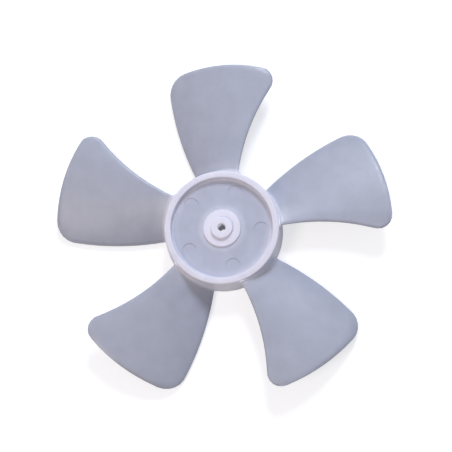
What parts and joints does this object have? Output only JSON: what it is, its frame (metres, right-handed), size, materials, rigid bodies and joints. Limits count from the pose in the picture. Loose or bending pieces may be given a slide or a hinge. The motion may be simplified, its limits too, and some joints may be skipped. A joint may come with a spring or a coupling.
{
  "type": "fan blade",
  "caption": "One-piece moulded axial fan with broad twisted blades round a shallow dished hub, pressed onto a motor shaft with a flat.",
  "frame": {"origin": "on the axis of the shaft bore, in the plane of the hub's open rear edge", "axes": "+Z along the shaft axis towards the front side with the shallow recess; +X is the picture's right and +Y its top, as seen from the front"},
  "size_m": [0.1446, 0.1403, 0.014],
  "materials": {
    "fan_blade": "satin"
  },
  "bodies": {
    "root": {"fan_blade": "fan_blade"}
  },
  "joints": []
}
